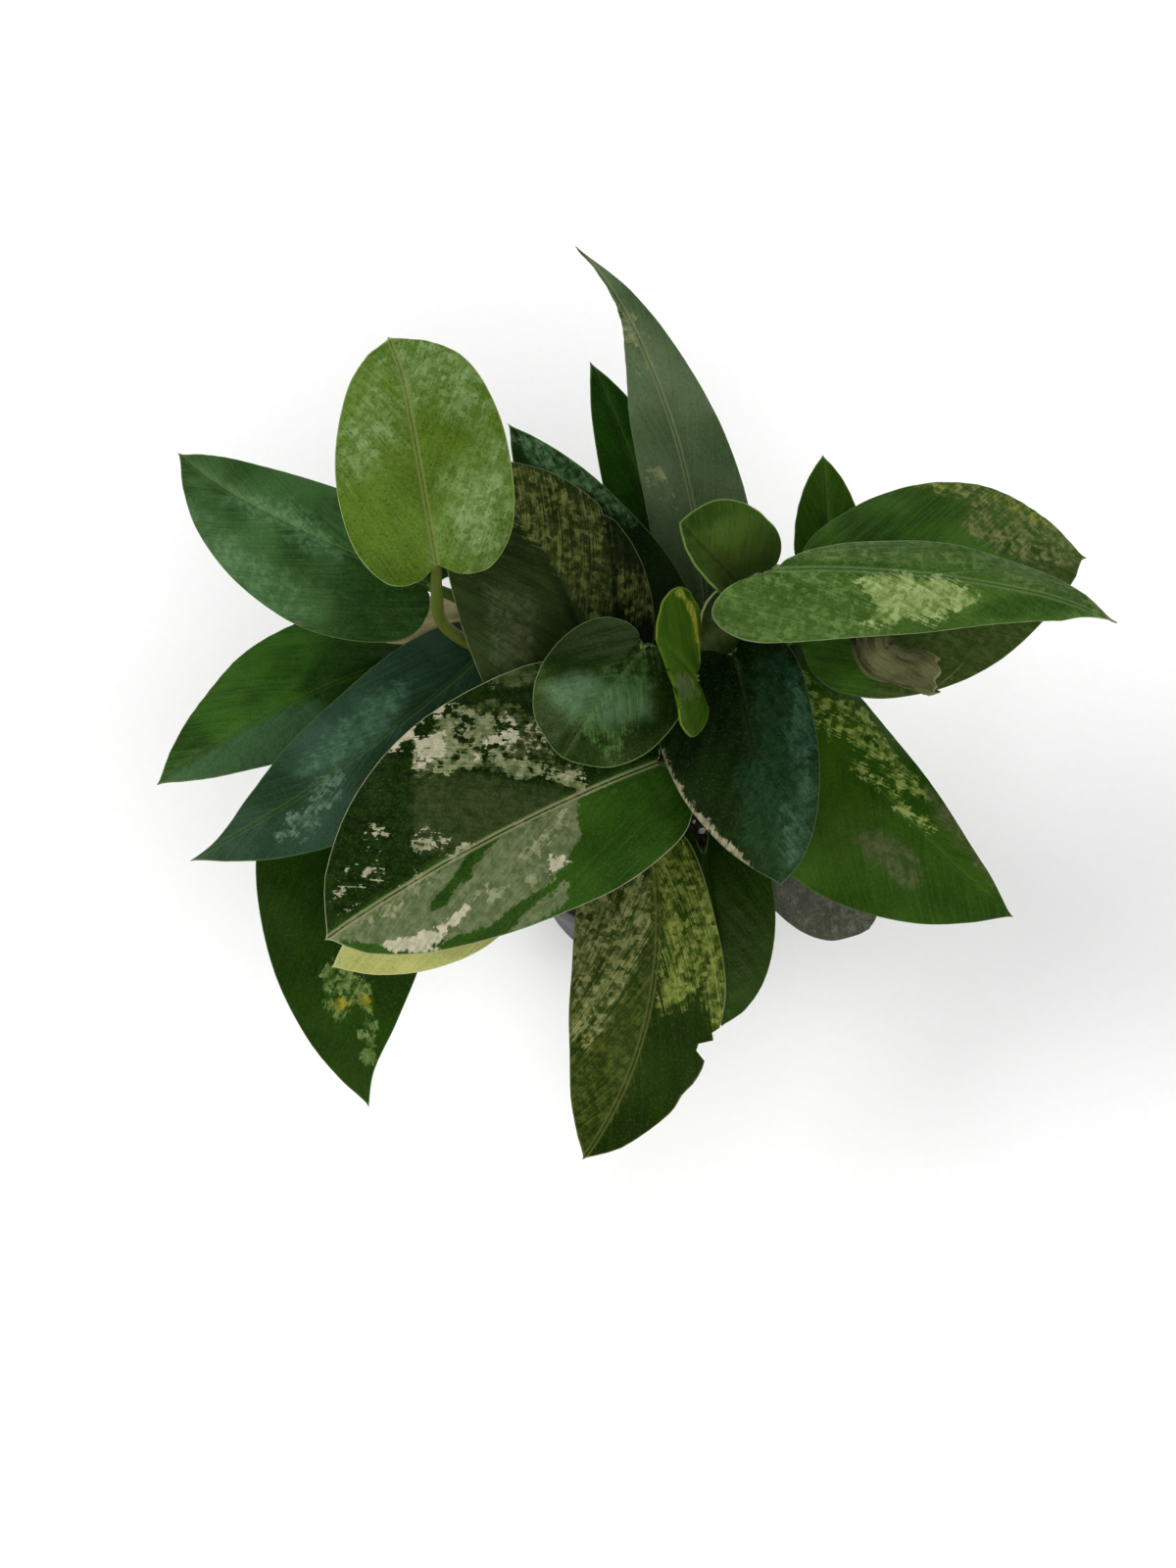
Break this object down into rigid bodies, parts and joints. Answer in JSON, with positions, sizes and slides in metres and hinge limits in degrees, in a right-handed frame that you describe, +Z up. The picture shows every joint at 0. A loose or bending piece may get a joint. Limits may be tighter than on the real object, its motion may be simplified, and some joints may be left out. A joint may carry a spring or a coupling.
{
  "type": "satin pothos in a nursery pot",
  "caption": "Bushy potted foliage plant with marbled, satin heart-shaped leaves on short vines over a small tapered pot with drain holes.",
  "frame": {"origin": "centre of the pot's underside, on the surface it stands on", "axes": "+Z up along the pot's axis; -Y towards the viewer of the picture, which looks down on the plant"},
  "size_m": [0.2515, 0.2313, 0.2092],
  "materials": {
    "pot": "matte",
    "soil": "matte",
    "stem_left": "satin",
    "stem_front_left": "satin",
    "stem_front": "satin",
    "stem_right": "satin",
    "stem_back": "satin",
    "leaf_bright": "satin",
    "leaf_left_upper": "satin",
    "leaf_tan": "matte",
    "leaf_left_silver": "satin",
    "leaf_left_green": "satin",
    "leaf_marbled": "satin",
    "leaf_round": "satin",
    "leaf_folded": "satin",
    "leaf_cupped": "satin",
    "leaf_long_right": "satin",
    "leaf_right_broad": "satin",
    "leaf_right_front": "satin",
    "leaf_grey": "satin",
    "leaf_right_back": "satin",
    "leaf_tall": "satin",
    "leaf_tall_back": "satin",
    "leaf_back_left": "satin",
    "leaf_smoky": "satin",
    "leaf_teal": "satin",
    "leaf_front_mottled": "satin",
    "leaf_front_green": "satin",
    "leaf_left_front": "satin",
    "leaf_pale": "satin",
    "sheath_dry": "matte"
  },
  "bodies": {
    "root": {"pot": "pot", "soil": "soil", "stem_left": "stem_left", "stem_front_left": "stem_front_left", "stem_front": "stem_front", "stem_right": "stem_right", "stem_back": "stem_back", "leaf_bright": "leaf_bright", "leaf_left_upper": "leaf_left_upper", "leaf_tan": "leaf_tan", "leaf_left_silver": "leaf_left_silver", "leaf_left_green": "leaf_left_green", "leaf_marbled": "leaf_marbled", "leaf_round": "leaf_round", "leaf_folded": "leaf_folded", "leaf_cupped": "leaf_cupped", "leaf_long_right": "leaf_long_right", "leaf_right_broad": "leaf_right_broad", "leaf_right_front": "leaf_right_front", "leaf_grey": "leaf_grey", "leaf_right_back": "leaf_right_back", "leaf_tall": "leaf_tall", "leaf_tall_back": "leaf_tall_back", "leaf_back_left": "leaf_back_left", "leaf_smoky": "leaf_smoky", "leaf_teal": "leaf_teal", "leaf_front_mottled": "leaf_front_mottled", "leaf_front_green": "leaf_front_green", "leaf_left_front": "leaf_left_front", "leaf_pale": "leaf_pale", "sheath_dry": "sheath_dry"}
  },
  "joints": []
}
